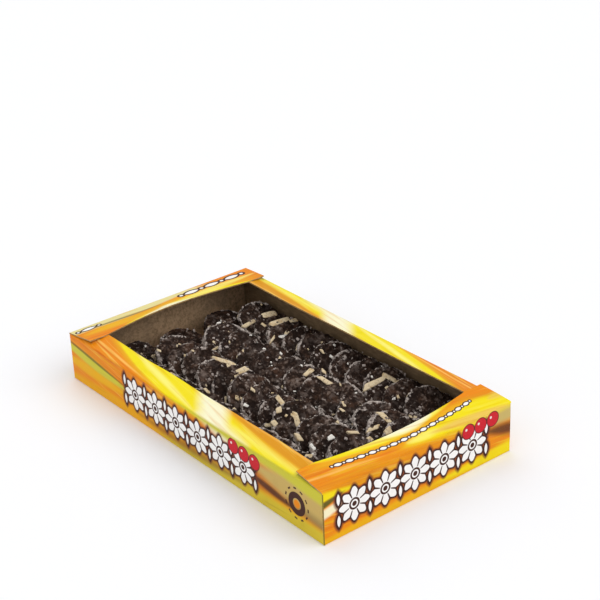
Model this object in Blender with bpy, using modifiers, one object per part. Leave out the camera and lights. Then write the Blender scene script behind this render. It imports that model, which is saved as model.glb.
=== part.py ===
"""Open printed carton, filled with rows of leaning round slices of chocolate biscuit salami.

The carton stands on Z = 0 with its centre over the origin. X runs along its long side, Y across it.
"""

import math

import bmesh
import bpy
import numpy as np
from mathutils import Euler, Matrix, Vector

COLLECTION = "biscuit_salami_carton"

# The carton, in metres. Its proportions come from the width.
CARTON_WIDTH = 0.220
CARTON_LENGTH = 1.778 * CARTON_WIDTH
WALL_HEIGHT = 0.235 * CARTON_WIDTH
BOARD = 0.0012
FOLD_RADIUS = 0.0012
FOLD_STEPS = 2
LONG_FLANGE = 0.103 * CARTON_WIDTH
LONG_FLANGE_RISE = 0.0030
CORNER_SLIT = 0.0020
END_PANEL = 0.165 * CARTON_WIDTH
GLUE_OVERLAP = 0.0003
END_PANEL_RISE = LONG_FLANGE_RISE + BOARD - GLUE_OVERLAP
END_PANEL_INSET = 0.0005
END_PANEL_CORNER = 0.0020
END_PANEL_CORNER_STEPS = 2
FREE_EDGE_DEPTH = 0.043 * CARTON_WIDTH
FREE_EDGE_HALF = 0.405 * CARTON_WIDTH
FREE_EDGE_STEPS = 16

# A slice is a thick coin with a worn rim.
SLICE_RADIUS = 0.0267
SLICE_THICKNESS = 0.0106
SMALLEST_SLICE = 0.94
SLICE_SEGMENTS = 26
RIM_BEVEL = 0.0016
FACE_DROP = 0.0006
OUTLINE_WAVES = 4
OUTLINE_DEPTH = 0.026
SMALLEST_WAVE = 0.2
CHIP_DEPTH = 0.030
SHARP_ANGLE = 50.0

# The slices lean back towards the far end (-X) in rows along X, the first ones on a low layer behind them.
ROWS = 4
ROW_SPACING = 0.0528
ROW_WANDER = 0.0010
FAR_EDGE = -0.850 * CARTON_WIDTH
FAR_EDGE_WANDER = 0.003
BACK_TILTS = (18.0, 8.0, 16.0)
BACK_TURN = 3.0
FIRST_TILTS = (31.0, 32.0, 33.0)
FIRST_TURNS = (4.0, 9.0, 14.0)
TILT = 35.0
TILT_SPREAD = 5.0
TURN = 18.0
TURN_SPREAD = 9.0
GAP = 0.0005
SLIDE = 0.0005
RIM_SAMPLES = 48
SEED = 11

PRINT_YELLOW = (0.84, 0.60, 0.03, 1.0)
PRINT_ROUGHNESS = 0.45
CHOCOLATE = (0.022, 0.015, 0.013, 1.0)
CHOCOLATE_ROUGHNESS = 0.75


def clear_scene():
    for old in list(bpy.data.objects):
        bpy.data.objects.remove(old, do_unlink=True)


def new_collection(name):
    collection = bpy.data.collections.new(name)
    bpy.context.scene.collection.children.link(collection)
    return collection


def new_material(name, colour, roughness):
    material = bpy.data.materials.new(name)
    material.use_nodes = True
    shader = material.node_tree.nodes["Principled BSDF"]
    shader.inputs["Base Color"].default_value = colour
    shader.inputs["Roughness"].default_value = roughness
    shader.inputs["Metallic"].default_value = 0.0
    return material


def object_from(bm, name, collection, material):
    mesh = bpy.data.meshes.new(name)
    bm.to_mesh(mesh)
    bm.free()
    mesh.materials.append(material)
    made = bpy.data.objects.new(name, mesh)
    collection.objects.link(made)
    return made


def tray(collection, material):
    """Floor, four walls and the two long flanges, folded from one sheet.

    The flanges slope up towards the opening, but their tips are pressed down under the end panels
    and stop at a slit in front of the short walls. The open sheet gets its folds rounded first and
    its board thickness afterwards, inwards.
    """
    bm = bmesh.new()
    bmesh.ops.create_cube(bm, size=1.0)
    bmesh.ops.scale(bm, vec=(CARTON_LENGTH, CARTON_WIDTH, WALL_HEIGHT), verts=bm.verts)
    bmesh.ops.translate(bm, vec=(0, 0, WALL_HEIGHT / 2), verts=bm.verts)
    lid = max(bm.faces, key=lambda face: face.calc_center_median().z)
    bmesh.ops.delete(bm, geom=[lid], context="FACES_ONLY")
    for side in (-1, 1):
        for inset in (CORNER_SLIT, END_PANEL):
            bmesh.ops.bisect_plane(
                bm,
                geom=[*bm.verts, *bm.edges, *bm.faces],
                plane_co=(side * (CARTON_LENGTH / 2 - inset), 0, 0),
                plane_no=(1, 0, 0),
            )
    outermost = CARTON_LENGTH / 2 - CORNER_SLIT / 2
    flange_folds = [
        edge
        for edge in bm.edges
        if edge.is_boundary
        and abs(edge.verts[0].co.y - edge.verts[1].co.y) < BOARD
        and max(abs(vert.co.x) for vert in edge.verts) < outermost
    ]
    grown = bmesh.ops.extrude_edge_only(bm, edges=flange_folds)["geom"]
    for vert in (item for item in grown if isinstance(item, bmesh.types.BMVert)):
        under_panel = abs(vert.co.x) > CARTON_LENGTH / 2 - END_PANEL / 2
        vert.co.y -= math.copysign(LONG_FLANGE, vert.co.y)
        vert.co.z += 0.0 if under_panel else LONG_FLANGE_RISE
    bmesh.ops.recalc_face_normals(bm, faces=bm.faces)
    made = object_from(bm, "carton", collection, material)
    folds = made.modifiers.new("folds", "BEVEL")
    folds.width = FOLD_RADIUS
    folds.segments = FOLD_STEPS
    folds.limit_method = "ANGLE"
    board = made.modifiers.new("board", "SOLIDIFY")
    board.thickness = BOARD
    board.offset = -1.0
    board.use_even_offset = True
    return made


def curve_free_edge(bm, reach):
    """Cuts the panel into strips and draws its free edge back as a parabola, deepest in the middle."""
    for station in np.linspace(-FREE_EDGE_HALF, FREE_EDGE_HALF, FREE_EDGE_STEPS + 1):
        bmesh.ops.bisect_plane(
            bm,
            geom=[*bm.verts, *bm.edges, *bm.faces],
            plane_co=(0, station, 0),
            plane_no=(0, 1, 0),
        )
    for vert in bm.verts:
        if vert.co.x < -reach / 2 and abs(vert.co.y) < FREE_EDGE_HALF:
            vert.co.x += FREE_EDGE_DEPTH * (1 - (vert.co.y / FREE_EDGE_HALF) ** 2)


def end_panel(side, collection, material):
    """The flat panel that folds in from a short wall and lies over the ends of the long flanges."""
    slope = math.atan2(END_PANEL_RISE, END_PANEL)
    reach = END_PANEL / math.cos(slope)
    bm = bmesh.new()
    bmesh.ops.create_cube(bm, size=1.0)
    bmesh.ops.scale(bm, vec=(reach, CARTON_WIDTH - 2 * END_PANEL_INSET, BOARD), verts=bm.verts)
    bmesh.ops.translate(bm, vec=(-reach / 2, 0, -BOARD / 2), verts=bm.verts)
    upright = [
        edge
        for edge in bm.edges
        if abs(edge.verts[0].co.z - edge.verts[1].co.z) > BOARD / 2 and edge.verts[0].co.x > -reach / 2
    ]
    bmesh.ops.bevel(
        bm,
        geom=upright,
        offset=END_PANEL_CORNER,
        segments=END_PANEL_CORNER_STEPS,
        affect="EDGES",
    )
    curve_free_edge(bm, reach)
    bmesh.ops.rotate(bm, matrix=Matrix.Rotation(slope, 3, "Y"), verts=bm.verts)
    bmesh.ops.translate(bm, vec=(CARTON_LENGTH / 2, 0, WALL_HEIGHT), verts=bm.verts)
    if side < 0:
        bmesh.ops.rotate(bm, matrix=Matrix.Rotation(math.pi, 3, "Z"), verts=bm.verts)
    made = object_from(bm, f"end_panel_{'far' if side < 0 else 'near'}", collection, material)
    made.hide_render = True
    made.display_type = "WIRE"
    return made


def carton(collection, helpers, material):
    """The tray with both end panels glued on, as one piece of board."""
    made = tray(collection, material)
    for side in (-1, 1):
        panel = end_panel(side, helpers, material)
        glue = made.modifiers.new(panel.name, "BOOLEAN")
        glue.operation = "UNION"
        glue.solver = "EXACT"
        glue.object = panel
    return made


def slice_axes(tilt, turn):
    """Columns: across the slice, up its slope, and out of its face."""
    return np.array(Euler((0, tilt, -turn), "XYZ").to_matrix())[:, [1, 0, 2]] * (1, -1, 1)


def rim_points(pose):
    """Points round both edges of a slice."""
    centre, axes, radius = pose
    angle = np.linspace(0, 2 * math.pi, RIM_SAMPLES, endpoint=False)
    circle = radius * (np.outer(np.cos(angle), axes[:, 0]) + np.outer(np.sin(angle), axes[:, 1]))
    half = axes[:, 2] * SLICE_THICKNESS / 2
    return centre + np.concatenate([circle + half, circle - half])


def reaches_into(pose, other):
    """Whether a rim point of the first slice comes nearer than the gap to the second."""
    centre, axes, radius = other
    local = (rim_points(pose) - centre) @ axes
    near_face = np.abs(local[:, 2]) < SLICE_THICKNESS / 2 + GAP
    near_rim = np.hypot(local[:, 0], local[:, 1]) < radius + GAP
    return bool((near_face & near_rim).any())


def slid_clear(centre, axes, radius, placed):
    """The slice, slid along X until it only just clears every slice that is already there."""
    while True:
        pose = (centre, axes, radius)
        if not any(reaches_into(pose, other) or reaches_into(other, pose) for other in placed):
            return pose
        centre = centre + np.array([SLIDE, 0.0, 0.0])


def leaning_pose(rng, radius, start, across, tilt, turn, placed):
    """A slice at about this place and lean, kept off the side walls and slid clear of the others."""
    tilt = math.radians(tilt + TILT_SPREAD * rng.uniform(-1, 1))
    turn = math.radians(turn + TURN_SPREAD * turn / TURN * rng.uniform(-1, 1))
    side = CARTON_WIDTH / 2 - BOARD - GAP - radius
    across = min(max(across + ROW_WANDER * rng.uniform(-1, 1), -side), side)
    height = BOARD + GAP + radius * math.sin(tilt) + SLICE_THICKNESS / 2 * math.cos(tilt)
    return slid_clear(np.array([start, across, height]), slice_axes(tilt, turn), radius, placed)


def slice_poses():
    """Poses of all slices: the low layer between the rows, then every row up to the near wall."""
    rng = np.random.default_rng(SEED)
    inner_end = CARTON_LENGTH / 2 - BOARD - GAP
    lines = (np.arange(ROWS) - (ROWS - 1) / 2) * ROW_SPACING
    groups = {"back": []}
    for across, tilt in zip((lines[1:] + lines[:-1]) / 2, BACK_TILTS):
        start = FAR_EDGE + rng.uniform(0, FAR_EDGE_WANDER) + SLICE_RADIUS
        radius = SLICE_RADIUS * SMALLEST_SLICE
        groups["back"].append(leaning_pose(rng, radius, start, across, tilt, BACK_TURN, groups["back"]))
    placed = list(groups["back"])
    rows = {f"row{row + 1}": across for row, across in enumerate(lines)}
    starts = {row: FAR_EDGE + SLICE_RADIUS for row in rows}
    groups.update({row: [] for row in rows})
    leans = [*zip(FIRST_TILTS, FIRST_TURNS), (TILT, TURN)]
    open_rows = set(rows)
    while open_rows:
        for row in sorted(open_rows):
            step = len(groups[row])
            tilt, turn = leans[min(step, len(leans) - 1)]
            radius = SLICE_RADIUS * rng.uniform(SMALLEST_SLICE, 1)
            pose = leaning_pose(rng, radius, starts[row], rows[row], tilt, turn, placed)
            if rim_points(pose)[:, 0].max() > inner_end:
                open_rows.discard(row)
                continue
            placed.append(pose)
            groups[row].append(pose)
            starts[row] = pose[0][0]
    return groups


def slice_object(name, pose, seed, collection, material):
    """One slice: a coin with a bevelled rim, whose outline waves and chips inwards from a true round."""
    centre, axes, radius = pose
    rng = np.random.default_rng(seed)
    bm = bmesh.new()
    bmesh.ops.create_cone(
        bm,
        cap_ends=True,
        segments=SLICE_SEGMENTS,
        radius1=radius,
        radius2=radius,
        depth=SLICE_THICKNESS,
    )
    rims = [edge for edge in bm.edges if abs(edge.verts[0].co.z - edge.verts[1].co.z) < BOARD]
    bmesh.ops.bevel(bm, geom=rims, offset=RIM_BEVEL, segments=1, affect="EDGES")
    phases = rng.uniform(0, 2 * math.pi, OUTLINE_WAVES)
    sizes = rng.uniform(SMALLEST_WAVE, 1, OUTLINE_WAVES)
    sizes /= sizes.sum()
    chips = rng.uniform(0, 1, SLICE_SEGMENTS) ** 2
    for vert in bm.verts:
        angle = math.atan2(vert.co.y, vert.co.x)
        spoke = round(angle / (2 * math.pi) * SLICE_SEGMENTS) % SLICE_SEGMENTS
        wave = sum(
            size * (1 + math.cos((k + 2) * angle + phase)) / 2
            for k, (size, phase) in enumerate(zip(sizes, phases))
        )
        shrink = 1 - OUTLINE_DEPTH * wave - CHIP_DEPTH * chips[spoke]
        vert.co.x *= shrink
        vert.co.y *= shrink
        vert.co.z -= math.copysign(FACE_DROP * rng.uniform(0, 1), vert.co.z)
    made = object_from(bm, name, collection, material)
    turned = Matrix(axes.tolist()).to_4x4()
    made.matrix_world = Matrix.Translation(Vector(centre)) @ turned
    made.data.shade_smooth()
    made.data.set_sharp_from_angle(angle=math.radians(SHARP_ANGLE))
    return made


def main():
    clear_scene()
    parts = new_collection(COLLECTION)
    helpers = new_collection("helpers")
    board = new_material("printed_board", PRINT_YELLOW, PRINT_ROUGHNESS)
    chocolate = new_material("chocolate_biscuit_slice", CHOCOLATE, CHOCOLATE_ROUGHNESS)
    carton(parts, helpers, board)
    made = 0
    for group, poses in slice_poses().items():
        for step, pose in enumerate(poses):
            made += 1
            name = f"slice_{group}_{step + 1:02d}"
            slice_object(name, pose, SEED + made, parts, chocolate)


main()
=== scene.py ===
import math

import bpy
import numpy as np
from mathutils import Matrix, Vector


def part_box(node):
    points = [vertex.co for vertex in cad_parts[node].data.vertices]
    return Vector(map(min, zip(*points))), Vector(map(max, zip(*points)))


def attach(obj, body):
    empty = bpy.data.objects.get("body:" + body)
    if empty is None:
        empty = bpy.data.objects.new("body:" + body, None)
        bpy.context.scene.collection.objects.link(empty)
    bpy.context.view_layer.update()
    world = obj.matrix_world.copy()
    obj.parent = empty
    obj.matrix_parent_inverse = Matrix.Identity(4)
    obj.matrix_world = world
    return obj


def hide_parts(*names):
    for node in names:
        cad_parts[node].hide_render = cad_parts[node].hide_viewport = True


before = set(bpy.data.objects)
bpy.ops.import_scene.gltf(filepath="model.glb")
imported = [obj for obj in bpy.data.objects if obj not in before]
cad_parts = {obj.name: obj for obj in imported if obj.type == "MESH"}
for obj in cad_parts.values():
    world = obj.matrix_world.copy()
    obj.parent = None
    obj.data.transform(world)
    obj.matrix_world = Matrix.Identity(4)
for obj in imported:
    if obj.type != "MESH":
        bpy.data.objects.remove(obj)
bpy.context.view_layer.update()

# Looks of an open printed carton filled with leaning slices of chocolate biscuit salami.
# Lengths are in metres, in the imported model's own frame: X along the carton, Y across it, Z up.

SEED = 7

# The carton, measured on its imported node. Its walls and flaps are shares of its width.
HALF_LENGTH, HALF_WIDTH, CARTON_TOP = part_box("carton")[1]
WIDTH = 2 * HALF_WIDTH
WALL_HEIGHT = 0.235 * WIDTH
FLANGE = 0.103 * WIDTH
PANEL = 0.165 * WIDTH
FREE_EDGE_DEPTH = 0.043 * WIDTH
FREE_EDGE_HALF = 0.405 * WIDTH
BOARD = 0.0012
CLEARANCE = 0.0002
FOLD = 0.0016
CORNER = 0.0012
CORNER_FOOT = 0.0006
SEAM = 0.0003
WALL_INSET = 0.0007
WALL_BULGE = 0.0006
LONG_SIDE_DROP = 0.0010
FLANGE_RISE = 0.0040
FLANGE_SPRING = 8.0
FLANGE_END = 0.002
FLANGE_STEP = 0.001
PANEL_RISE = CARTON_TOP - WALL_HEIGHT - CLEARANCE
PANEL_BOW = 0.0009
PANEL_INSET = 0.0006
PANEL_TAPER = 0.0024

# How deep the board wanders from its true shape, and over what length.
WALL_WANDER = (0.00035, 0.16)
FLANGE_LIFT_WANDER = (0.0003, 0.13)
FLANGE_EDGE_WANDER = (0.0005, 0.20)
FLANGE_FACE_WANDER = (0.00025, 0.10)
PANEL_EDGE_WANDER = (0.0004, 0.16)
PANEL_FACE_WANDER = (0.0004, 0.12)

# Rows and columns of the board's grids.
FOOT_STATIONS = 6
FOLD_STATIONS = 7
WALL_STATIONS = 20
FLANGE_STATIONS = 13
PANEL_STATIONS = 17
CORNER_STATIONS = 12
LONG_COLUMNS = 150
UNDER_PANEL_COLUMNS = 14
OPENING_COLUMNS = 97
OVER_FLANGE_COLUMNS = 12
FLOOR_COLUMNS = 40
FLOOR_ROWS = 24

# The camera, fitted to the carton's edges in the photo.
IMAGE = 600
FOCAL_PIXELS = 1529.1
SENSOR = 36.0
CAMERA_YAW = math.radians(141.89)
CAMERA_PITCH = math.radians(26.05)
CAMERA_ROLL = math.radians(-2.43)
CAMERA_DISTANCE = 7.605 * WIDTH
CAMERA_TARGET = np.array((-0.8015, 0.7610, 0.0)) * WIDTH

# Biscuit pieces that the photo shows: the two ends of each piece in pixels, and its width in millimetres.
BISCUITS_SEEN = (
    (262, 314, 276, 310, 7.0),
    (268, 322, 289, 316, 5.8),
    (290, 321, 297, 319, 4.0),
    (242, 327, 255, 320, 4.7),
    (262, 323, 266, 326, 3.0),
    (267, 343, 275, 336, 2.5),
    (213, 354, 236, 364, 4.4),
    (237, 373, 248, 365, 6.5),
    (206, 383, 209, 393, 3.0),
    (226, 396, 226, 405, 3.5),
    (236, 397, 242, 399, 5.0),
    (251, 388, 255, 391, 3.0),
    (274, 403, 279, 412, 5.4),
    (277, 396, 285, 406, 4.9),
    (271, 424, 276, 422, 6.0),
    (295, 412, 299, 427, 5.2),
    (291, 414, 294, 416, 2.5),
    (305, 375, 312, 369, 4.8),
    (322, 369, 329, 371, 3.0),
    (319, 376, 331, 384, 4.8),
    (213, 341, 216, 343, 2.5),
    (152, 355, 156, 359, 3.0),
    (157, 349, 161, 351, 2.5),
    (360, 387, 386, 377, 5.9),
    (383, 374, 399, 382, 4.8),
    (397, 394, 399, 398, 2.5),
    (343, 401, 345, 406, 3.0),
    (340, 408, 344, 411, 2.5),
    (380, 412, 391, 423, 4.8),
    (367, 430, 379, 426, 4.0),
    (384, 431, 391, 429, 6.0),
    (348, 432, 359, 430, 3.0),
    (369, 436, 373, 439, 3.5),
    (337, 419, 339, 423, 2.0),
    (321, 349, 324, 353, 2.5),
    (294, 433, 301, 440, 4.8),
)
WHITE_BITS_SEEN = (
    (280, 337, 287, 335, 3.5),
    (328, 439, 333, 436, 4.5),
    (311, 444, 315, 449, 3.5),
    (330, 355, 334, 358, 2.5),
    (244, 404, 248, 406, 3.0),
    (145, 345, 147, 347, 2.5),
    (280, 352, 282, 354, 2.2),
    (217, 322, 221, 322, 2.2),
)

# A slice's outline is read in SPOKES directions, each from the points within SPOKE_SPREAD of it.
SPOKES = 52
SPOKE_SPREAD = 0.13
OUTLINE_HARMONICS = 9

# A slice's surface, as stations from the middle of its face over the rim to the middle of its back.
SLICE_REACH = 0.027
SLICE_COLUMNS = 192
FACE_STATIONS = 30
RIM_STATIONS = 5
SIDE_STATIONS = 8
BACK_STATIONS = 14
RIM_ROUNDING = 0.0013
LUMP_SIZE = 0.0066
LUMP_DEPTH = 0.00085
CRUMB_SIZE = 0.0034
CRUMB_DEPTH = 0.00150
FINE_DEPTH = 0.00018
CHIP_SIZE = 0.0060
CHIP_DEPTH = 0.0030
CHIP_SPREAD = 0.0022
EDGE_WANDER = 0.0015
WEAR = 0.00070
DUST_SPILL = 0.0030
DUST_LINE = 0.0004
LATTICE = (32, 32, 32)

# Biscuit blocks and crumbs in a slice's faces.
BLOCK_COLUMNS = 20
BLOCK_POWER = 0.34
BLOCK_TWIST = 0.35
BLOCK_THICK = 0.0045
BLOCK_SUNK = 0.00015
BLOCK_ROUGH_SIZE = 0.0021
BLOCK_ROUGH_DEPTH = 0.00042
BLOCKS_A_FACE = 7
BLOCK_LENGTHS = (0.002, 0.009)
BLOCK_WIDTHS = (0.0025, 0.0050)
CRUMBS_A_FACE = 9
CRUMB_LENGTHS = (0.0009, 0.0026)
CRUMB_THICK = 0.0022
SMALL_CRUMB = 0.0024

# The material number of each kind, and the kinds that a random crumb is drawn from.
DOUGH, BISCUIT, WHITE_BIT, GREY_CRUMB = range(4)
CRUMB_KINDS = (BISCUIT, WHITE_BIT) + (GREY_CRUMB,) * 8

# The studio: its floor, the sky's strength, and each light's direction and strength.
FLOOR_REACH = 8.0
FLOOR_TONE = (0.90, 0.905, 0.925, 1.0)
FLOOR_GLOW = 0.056
SKY_STRENGTH = 0.545
PURE_WHITE = (1.0, 1.0, 1.0, 1.0)
LIGHT_SPREAD = math.radians(60.0)
LIGHTS = {
    "key_light": ((1.15, 0.65, 1.42), 1.18),
    "back_light": ((-1.1, 0.25, 1.3), 0.64),
    "fill_light": ((0.2, -1.6, 1.0), 0.44),
}


def srgb(red, green, blue):
    """A linear colour from display values of 0 to 255."""
    shown = np.array((red, green, blue)) / 255
    linear = np.where(shown <= 0.04045, shown / 12.92, ((shown + 0.055) / 1.055) ** 2.4)
    return (*(float(value) for value in linear), 1.0)


# Node trees, written as sums and products


class Term:
    """A value in a material's node tree that sums, differences and products can be written with."""

    def __init__(self, socket):
        self.socket = socket

    def __add__(self, other):
        return calculate("ADD", self, other)

    __radd__ = __add__

    def __sub__(self, other):
        return calculate("SUBTRACT", self, other)

    def __rsub__(self, other):
        return calculate("SUBTRACT", other, self)

    def __mul__(self, other):
        return calculate("MULTIPLY", self, other)

    __rmul__ = __mul__

    def __truediv__(self, other):
        return calculate("DIVIDE", self, other)

    def __abs__(self):
        return calculate("ABSOLUTE", self)


def connect(value, socket):
    """A socket fed by a term, or set to a plain number or colour."""
    if isinstance(value, Term):
        socket.id_data.links.new(value.socket, socket)
    else:
        socket.default_value = value


def calculate(operation, *values):
    """One step of arithmetic on the values, in the node tree of the first term among them."""
    tree = next(value.socket.id_data for value in values if isinstance(value, Term))
    node = tree.nodes.new("ShaderNodeMath")
    node.operation = operation
    for socket, value in zip(node.inputs, values):
        connect(value, socket)
    return Term(node.outputs[0])


def least(one, other):
    """The smaller of two values."""
    return calculate("MINIMUM", one, other)


def most(one, other):
    """The larger of two values."""
    return calculate("MAXIMUM", one, other)


def ramp(value, low, high):
    """0 below low, 1 above high, and a smooth step between them."""
    node = value.socket.id_data.nodes.new("ShaderNodeMapRange")
    node.interpolation_type = "SMOOTHSTEP"
    connect(value, node.inputs["Value"])
    connect(low, node.inputs["From Min"])
    connect(high, node.inputs["From Max"])
    return Term(node.outputs["Result"])


def paint(under, over, cover):
    """The colour under, with the colour over laid on it as far as cover says."""
    node = cover.socket.id_data.nodes.new("ShaderNodeMix")
    node.data_type = "RGBA"
    connect(cover, node.inputs[0])
    connect(under, node.inputs[6])
    connect(over, node.inputs[7])
    return Term(node.outputs[2])


def coated(colour, *coats):
    """A colour under coats laid one after another. Each gives its colour and how far it covers."""
    for over, cover in coats:
        colour = paint(colour, over, cover)
    return colour


def object_place(tree):
    """The place on a piece, in metres."""
    return Term(tree.nodes.new("ShaderNodeTexCoord").outputs["Object"])


def attribute(tree, name):
    """A field of numbers that a piece's points carry."""
    node = tree.nodes.new("ShaderNodeAttribute")
    node.attribute_name = name
    return Term(node.outputs["Fac"])


def noise(place, size, detail=2.0, roughness=0.5, stretch=None):
    """Cloudy noise of 0 to 1 whose largest blobs have the given size in metres."""
    tree = place.socket.id_data
    if stretch:
        mapping = tree.nodes.new("ShaderNodeMapping")
        connect(place, mapping.inputs["Vector"])
        mapping.inputs["Scale"].default_value = stretch
        place = Term(mapping.outputs[0])
    node = tree.nodes.new("ShaderNodeTexNoise")
    connect(place, node.inputs["Vector"])
    node.inputs["Scale"].default_value = 1 / size
    node.inputs["Detail"].default_value = detail
    node.inputs["Roughness"].default_value = roughness
    return Term(node.outputs["Fac"])


def cells(place, size):
    """Scattered cells of the given size: the distance to the nearest centre, and a random number for each."""
    tree = place.socket.id_data
    node = tree.nodes.new("ShaderNodeTexVoronoi")
    connect(place, node.inputs["Vector"])
    node.inputs["Scale"].default_value = 1 / size
    split = tree.nodes.new("ShaderNodeSeparateColor")
    tree.links.new(node.outputs["Color"], split.inputs[0])
    return Term(node.outputs["Distance"]), Term(split.outputs[0])


def parts_of(vector):
    """The three parts of a vector."""
    node = vector.socket.id_data.nodes.new("ShaderNodeSeparateXYZ")
    connect(vector, node.inputs[0])
    return [Term(socket) for socket in node.outputs]


def bump(height, strength, distance):
    """Fine relief: the height times the distance in metres, as far as strength says."""
    node = height.socket.id_data.nodes.new("ShaderNodeBump")
    node.inputs["Strength"].default_value = strength
    node.inputs["Distance"].default_value = distance
    connect(height, node.inputs["Height"])
    return Term(node.outputs["Normal"])


def new_material(name):
    """A new material, with its node tree and its shader."""
    material = bpy.data.materials.new(name)
    material.use_nodes = True
    return material, material.node_tree, material.node_tree.nodes["Principled BSDF"]


def finish(shader, colour, roughness, gloss, relief=None):
    """A surface's colour, roughness, gloss and relief, each on the shader's own socket."""
    connect(colour, shader.inputs["Base Color"])
    connect(roughness, shader.inputs["Roughness"])
    connect(gloss, shader.inputs["Specular IOR Level"])
    if relief:
        connect(relief, shader.inputs["Normal"])


# Materials of the carton


# The inks, the marks on the print, the bare board's colours and its plies.
ORANGE = srgb(236, 138, 8)
DEEP_ORANGE = srgb(214, 96, 14)
GOLD = srgb(238, 178, 8)
AMBER = srgb(222, 150, 14)
YELLOW = srgb(244, 224, 6)
PALE_YELLOW = srgb(252, 242, 120)
APRICOT = srgb(250, 188, 88)
CREAM = srgb(250, 246, 208)
SAND = srgb(238, 198, 92)
LIME = srgb(208, 200, 60)
TAN = srgb(200, 176, 104)
PALE_LIME = srgb(232, 220, 152)
OLIVE = srgb(104, 92, 30)
DULL_ORANGE = srgb(186, 104, 34)
BROWN = srgb(66, 34, 26)
MAROON = srgb(110, 36, 34)
RED = srgb(204, 30, 44)
WHITE = srgb(250, 248, 246)
HANDLED_BROWN = srgb(120, 80, 40)
FIBRE_WHITE = srgb(255, 255, 250)
BOARD_GREY = srgb(194, 162, 128)
BOARD_FIBRE = srgb(150, 124, 94)
BOARD_STAIN = srgb(130, 110, 88)
# Painted shade laid on the bare board along the long walls.
BOARD_PAINTED_SHADE = srgb(104, 84, 58)
BOARD_SPECK = srgb(62, 50, 38)
PLY_PALE = srgb(204, 164, 106)
PLY_DARK = srgb(150, 112, 68)


def ribbon(u, v, start, end, level, rise, width, soft, arch=0.0):
    """A lens between u = start and u = end round a centre line v = level + rise t + arch sin(pi t).

    t runs from 0 at the start to 1 at the end, the half width is width times sin(pi t), and the lens fades
    out over its last twelfth at either end.
    """
    t = least(most((u - start) / (end - start), 0.0), 1.0)
    swell = calculate("SINE", t * math.pi)
    middle = level + rise * t + arch * swell
    return ramp(width * swell - abs(v - middle), -soft, soft) * least(swell * 4.0, 1.0)


def overprint(colour, u, v, ribbons):
    """Ribbons laid on a colour one after another. Each gives its ink, the ink's strength and its lens."""
    return coated(colour, *((ink, ribbon(u, v, *lens) * strength) for ink, strength, *lens in ribbons))


def streaked(colour, u, v, slope, coats):
    """Fine printed streaks that run along u at a slope: noise stretched twenty to one.

    Each coat gives its ink, the ink's strength, and the noise at which it starts and at which it is full.
    """
    joined = u.socket.id_data.nodes.new("ShaderNodeCombineXYZ")
    connect(u * 0.05, joined.inputs[0])
    connect(v + u * slope, joined.inputs[1])
    fine = noise(Term(joined.outputs[0]), 0.0045, 3.0, 0.55)
    return coated(colour, *((ink, ramp(fine, low, high) * strength) for ink, strength, low, high in coats))


def span(x, y):
    """Distance from the middle: the root of x squared plus y squared."""
    return calculate("SQRT", x * x + y * y)


def within(distance, limit=0.0, soft=0.0003):
    """0 where a distance is over the limit, and 1 where it is less by the soft edge's width or more."""
    return ramp(limit - distance, 0.0, soft)


def disc(x, y, radius):
    """Distance in metres outside a disc, negative inside it."""
    return span(x, y) - radius


def leaf(x, y, half_width, half_length):
    """Distance outside an almond leaf along y: where two discs of one radius overlap."""
    radius = (half_length**2 + half_width**2) / (2 * half_width)
    return disc(abs(x) + (radius - half_width), y, radius)


def row_place(u, v, start, end, level, rise, spacing):
    """Distances along and above from the nearest place of a row, and the row's pitch.

    The pitch is the one nearest to the spacing that fits a whole number of times. The row's line is at
    level + rise t, and beyond its two ends the distance along grows on.
    """
    pitch = (end - start) / round((end - start) / spacing)
    inner = least(most(u, start), end)
    x = abs(calculate("PINGPONG", inner - start, pitch) - pitch / 2) + abs(u - inner)
    y = v - (level + rise * (u - start) / (end - start))
    return x, y, pitch


def inked(colour, shape, outline, shadow=0.0):
    """A white shape with a brown outline and, where a shadow is given, a soft maroon edge round that."""
    if shadow:
        colour = paint(colour, MAROON, within(shape, outline + shadow, shadow) * 0.8)
    return coated(colour, (BROWN, within(shape, outline)), (WHITE, within(shape)))


def flower_row(colour, u, v, start, end, level, rise, size):
    """A row of white flowers of eight petals, with small leaves in the gaps above and below.

    The petals' edge is a circle whose radius swells and shrinks with the cosine of eight times the angle.
    """
    x, y, pitch = row_place(u, v, start, end, level, rise, size * 0.94)
    out = span(x, y)
    lobes = calculate("COSINE", calculate("ARCTAN2", y, x) * 8.0)
    petals = out - size * (0.415 + 0.065 * lobes)
    leaves = leaf(x - pitch / 2, abs(y) - size * 0.30, size * 0.055, size * 0.17)
    parting = ramp(lobes, -0.74, -0.90) * ramp(out, size * 0.17, size * 0.20)
    parting = parting * within(out, size * 0.38, 0.0004)
    return coated(
        inked(colour, least(petals, leaves), size * 0.060, size * 0.08),
        (BROWN, most(parting, within(out, size * 0.17))),
        (WHITE, within(abs(out - size * 0.09), size * 0.025)),
    )


def bead_row(colour, u, v, start, end, level, rise, size):
    """A thin row of small white leaves with beads between them and a brown edge."""
    x, y, pitch = row_place(u, v, start, end, level, rise, size * 2.1)
    shape = least(leaf(y, x, size * 0.34, pitch * 0.34), disc(x - pitch / 2, y, size * 0.20))
    return inked(colour, shape, size * 0.22)


def red_roundels(colour, u, v, first, level, radius, fall):
    """Three red discs with a maroon edge and a small light glint, side by side."""
    for step in range(3):
        x = u - (first + step * radius * 2.15)
        y = v - (level - fall * step)
        edge = disc(x, y, radius)
        glint = disc(x + radius * 0.35, y - radius * 0.35, radius * 0.22)
        colour = coated(
            colour,
            (MAROON, within(edge, 0.0009, 0.0004)),
            (RED, within(edge, 0.0, 0.0004)),
            (WHITE, within(glint, 0.0, 0.0006) * 0.8),
        )
    return colour


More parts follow.
